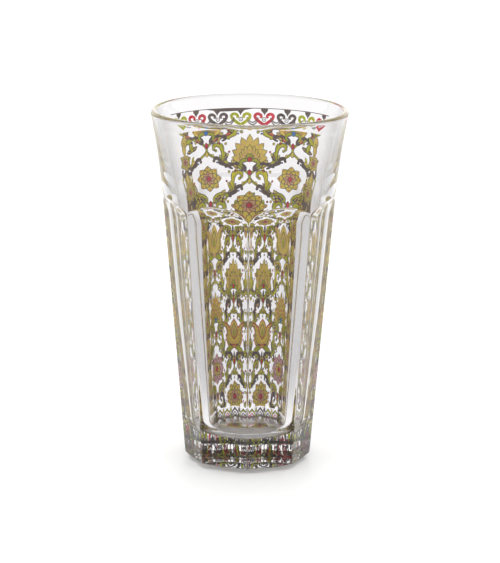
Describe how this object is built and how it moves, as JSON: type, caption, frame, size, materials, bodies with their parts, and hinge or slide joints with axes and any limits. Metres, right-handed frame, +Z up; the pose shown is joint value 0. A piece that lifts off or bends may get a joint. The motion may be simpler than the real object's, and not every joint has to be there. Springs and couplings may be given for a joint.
{
  "type": "drinking glass",
  "caption": "Tall clear pressed-glass tumbler with flat tapered side panels ending in scooped arches, a flared round lip, and a fired enamel print on the outside of its back wall.",
  "frame": {"origin": "on the table, on the glass's axis, at the bottom centre of its bounding box", "axes": "+Z up along the axis to the rim; +Y to the printed back wall; -Y to the clear front wall, with a ridge between two panels facing -Y"},
  "size_m": [0.0796, 0.0796, 0.145],
  "materials": {
    "clear_glass": "fire-polished clear",
    "charcoal_enamel": "glossy fired enamel",
    "green_enamel": "glossy fired enamel",
    "red_enamel": "glossy fired enamel",
    "ochre_enamel": "glossy fired enamel"
  },
  "bodies": {
    "root": {"glass_body": "clear_glass", "top_line_print": "charcoal_enamel", "heart_print_1": "green_enamel", "heart_print_2": "red_enamel", "heart_print_3": "charcoal_enamel", "heart_print_4": "green_enamel", "heart_print_5": "red_enamel", "heart_print_6": "charcoal_enamel", "heart_print_7": "green_enamel", "heart_print_8": "red_enamel", "field_print": "ochre_enamel", "foot_border_print": "green_enamel"}
  },
  "joints": []
}
